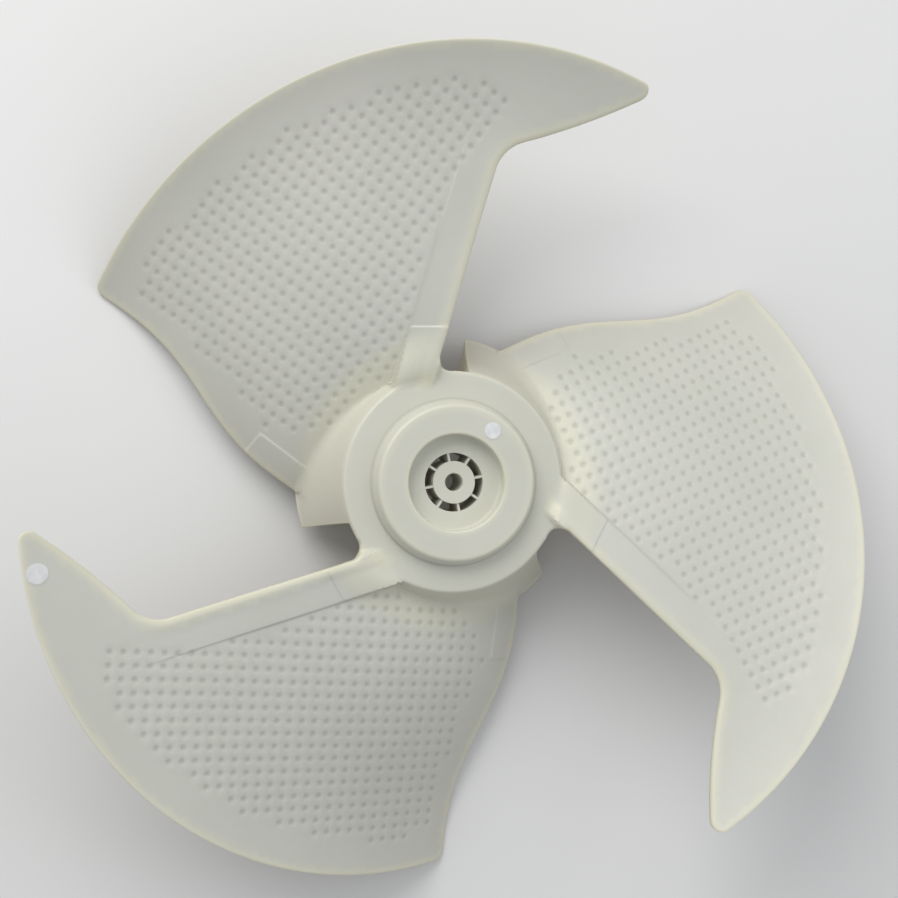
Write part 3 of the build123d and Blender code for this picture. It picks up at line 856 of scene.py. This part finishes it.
# ---- Materials: each pair of colours is the darker and the lighter one ----
GREY_PLASTIC = (0.635, 0.64, 0.57), (0.675, 0.675, 0.61)
# The cream pair is painted light, for light through the thin edges
CREAM_EDGE_LIGHT = (0.75, 0.735, 0.58), (0.79, 0.775, 0.63)
# Painted shade: the multiplier where the face is darkened
PLASTIC_SHADE = (0.83, 0.83, 0.82)
PLASTIC_ROUGHNESS = (0.32, 0.32, 0.32), (0.44, 0.44, 0.44)
PAPER_WHITE = (0.74, 0.75, 0.76), (0.86, 0.87, 0.88)
FLOOR_PALE = (0.84, 0.84, 0.83), (0.87, 0.87, 0.86)
FLOOR_BOUNCE = (0.34, 0.27, 0.19), (0.38, 0.30, 0.21)
NOISE_ROUGHNESS = 0.55
MIX_FIRST, MIX_SECOND, MIX_RESULT = 6, 7, 2  # a Mix node's sockets for colours


def node_tree(name):
    material = bpy.data.materials.new(name)
    material.use_nodes = True
    tree = material.node_tree
    tree.nodes.clear()
    output = tree.nodes.new("ShaderNodeOutputMaterial")
    shader = tree.nodes.new("ShaderNodeBsdfPrincipled")
    tree.links.new(shader.outputs["BSDF"], output.inputs["Surface"])
    return material, tree, shader


def noise(tree, scale, detail=3.0):
    place = tree.nodes.new("ShaderNodeTexCoord")
    node = tree.nodes.new("ShaderNodeTexNoise")
    node.inputs["Scale"].default_value = scale
    node.inputs["Detail"].default_value = detail
    node.inputs["Roughness"].default_value = NOISE_ROUGHNESS
    tree.links.new(place.outputs["Object"], node.inputs["Vector"])
    return node.outputs["Fac"]


def ramp(tree, value, colours, start=0.3, end=0.7):
    node = tree.nodes.new("ShaderNodeValToRGB")
    for index, (position, colour) in enumerate(zip((start, end), colours)):
        node.color_ramp.elements[index].position = position
        node.color_ramp.elements[index].color = (*colour, 1)
    tree.links.new(value, node.inputs["Fac"])
    return node.outputs["Color"]


def mixed(tree, factor, first, second, way="MIX"):
    """Two colours mixed by a factor. The second may be a plain colour."""
    node = tree.nodes.new("ShaderNodeMix")
    node.data_type = "RGBA"
    node.blend_type = way
    tree.links.new(factor, node.inputs["Factor"])
    tree.links.new(first, node.inputs[MIX_FIRST])
    if isinstance(second, tuple):
        node.inputs[MIX_SECOND].default_value = (*second, 1)
    else:
        tree.links.new(second, node.inputs[MIX_SECOND])
    return node.outputs[MIX_RESULT]


def attribute(tree, name):
    node = tree.nodes.new("ShaderNodeAttribute")
    node.attribute_name = name
    return node.outputs["Fac"]


def bump(tree, shader, height, strength, distance):
    node = tree.nodes.new("ShaderNodeBump")
    node.inputs["Strength"].default_value = strength
    node.inputs["Distance"].default_value = distance
    tree.links.new(height, node.inputs["Height"])
    tree.links.new(node.outputs["Normal"], shader.inputs["Normal"])


def plastic_material():
    """Ivory plastic: greyer on its faces, cream with painted light near its edges and over the hub,
    darker with painted shade in its dimples, crease and band step.
    """
    material, tree, shader = node_tree("natural_ivory_plastic")
    grey = ramp(tree, noise(tree, scale=9.0, detail=4.0), GREY_PLASTIC)
    edge_light = ramp(tree, noise(tree, scale=14.0, detail=4.0), CREAM_EDGE_LIGHT)
    # Painted light: cream mixed in near the edges and over the hub
    colour = mixed(tree, attribute(tree, "painted_edge_light"), grey, edge_light)
    # Painted shade: the colour multiplied down in the dimples, the crease and along the band's step
    colour = mixed(tree, attribute(tree, "painted_shade"), colour, PLASTIC_SHADE, "MULTIPLY")
    tree.links.new(colour, shader.inputs["Base Color"])
    roughness = ramp(tree, noise(tree, scale=26.0, detail=5.0), PLASTIC_ROUGHNESS)
    tree.links.new(roughness, shader.inputs["Roughness"])
    shader.inputs["IOR"].default_value = 1.49
    shader.inputs["Subsurface Weight"].default_value = 0.15
    shader.inputs["Subsurface Radius"].default_value = (0.012, 0.011, 0.008)
    shader.inputs["Subsurface Scale"].default_value = 0.6
    bump(tree, shader, noise(tree, scale=420.0, detail=2.0), strength=0.10, distance=0.0003)
    return material


def label_material():
    material, tree, shader = node_tree("label_paper")
    colour = ramp(tree, noise(tree, scale=160.0, detail=4.0), PAPER_WHITE, start=0.35, end=0.65)
    tree.links.new(colour, shader.inputs["Base Color"])
    shader.inputs["Roughness"].default_value = 0.45
    bump(tree, shader, noise(tree, scale=600.0, detail=2.0), strength=0.15, distance=0.0002)
    return material


def floor_material():
    """Pale to the camera and in reflections, and a warm card colour in the light it throws back."""
    material, tree, shader = node_tree("studio_floor")
    pale = ramp(tree, noise(tree, scale=2.0), FLOOR_PALE)
    bounce = ramp(tree, noise(tree, scale=2.0), FLOOR_BOUNCE)
    rays = tree.nodes.new("ShaderNodeLightPath")
    seen = tree.nodes.new("ShaderNodeMath")
    seen.operation = "MAXIMUM"
    tree.links.new(rays.outputs["Is Camera Ray"], seen.inputs[0])
    tree.links.new(rays.outputs["Is Glossy Ray"], seen.inputs[1])
    colour = mixed(tree, seen.outputs[0], bounce, pale)
    tree.links.new(colour, shader.inputs["Base Color"])
    shader.inputs["Roughness"].default_value = 0.9
    return material


# ---- The pieces ----
moulding = bpy.data.objects.new("impeller_moulding", moulding_mesh())
bpy.context.scene.collection.objects.link(moulding)
moulding.data.materials.append(plastic_material())
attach(moulding, "root")
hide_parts("impeller")

paper = label_material()
for node in ("hub_label", "tip_label"):
    label = bpy.data.objects[node]
    for slot in label.material_slots:
        slot.material = paper

# ---- Floor, light and camera ----
FLOOR_SIZE, FLOOR_GAP = 12.0, 0.0005
WORLD_COLOUR, WORLD_STRENGTH = (0.95, 0.97, 1.0, 1), 0.45
SENSOR, IMAGE_WIDTH = 36.0, 898
TILT, TURN = np.radians(0.466), np.radians(10.42)
SHIFT, FOCAL, DISTANCE = (3.971, -27.834), 1674.95, 1403.13  # the focal length is in pixels

bpy.ops.mesh.primitive_plane_add(size=FLOOR_SIZE, location=(0, 0, cad_bounds[0][2] - FLOOR_GAP))
floor = bpy.context.object
floor.name = "floor"
floor.data.materials.append(floor_material())


def area_light(name, place, size, power, colour):
    """A round lamp that faces the middle of the scene."""
    lamp = bpy.data.lights.new(name, "AREA")
    lamp.shape = "DISK"
    lamp.size = size
    lamp.energy = power
    lamp.color = colour
    holder = bpy.data.objects.new(name, lamp)
    holder.location = place
    holder.rotation_euler = (-Vector(place)).to_track_quat("-Z", "Y").to_euler()
    bpy.context.scene.collection.objects.link(holder)


area_light("key", place=(-1.15, 1.95, 1.7), size=2.4, power=52.0, colour=(1.0, 0.99, 0.97))
area_light("fill", place=(1.8, 0.4, 1.8), size=2.0, power=9.0, colour=(0.97, 0.98, 1.0))
world = bpy.data.worlds.new("studio")
bpy.context.scene.world = world
world.use_nodes = True
background = world.node_tree.nodes["Background"]
background.inputs["Color"].default_value = WORLD_COLOUR
background.inputs["Strength"].default_value = WORLD_STRENGTH

tilt = np.array([[1, 0, 0], [0, np.cos(TILT), -np.sin(TILT)], [0, np.sin(TILT), np.cos(TILT)]])
turn = np.array([[np.cos(TURN), 0, np.sin(TURN)], [0, 1, 0], [-np.sin(TURN), 0, np.cos(TURN)]])
view = (tilt @ turn).T
place = view @ np.array([-SHIFT[0], -SHIFT[1], DISTANCE]) * MM
camera_data = bpy.data.cameras.new("camera")
camera_data.sensor_width = SENSOR
camera_data.lens = FOCAL / IMAGE_WIDTH * SENSOR
camera_data.clip_start, camera_data.clip_end = 0.05, 50.0
camera = bpy.data.objects.new("camera", camera_data)
matrix = np.eye(4)
matrix[:3, :3] = view
matrix[:3, 3] = place
camera.matrix_world = Matrix(matrix.tolist())
bpy.context.scene.collection.objects.link(camera)
bpy.context.scene.camera = camera
bpy.context.scene.view_settings.view_transform = "Standard"
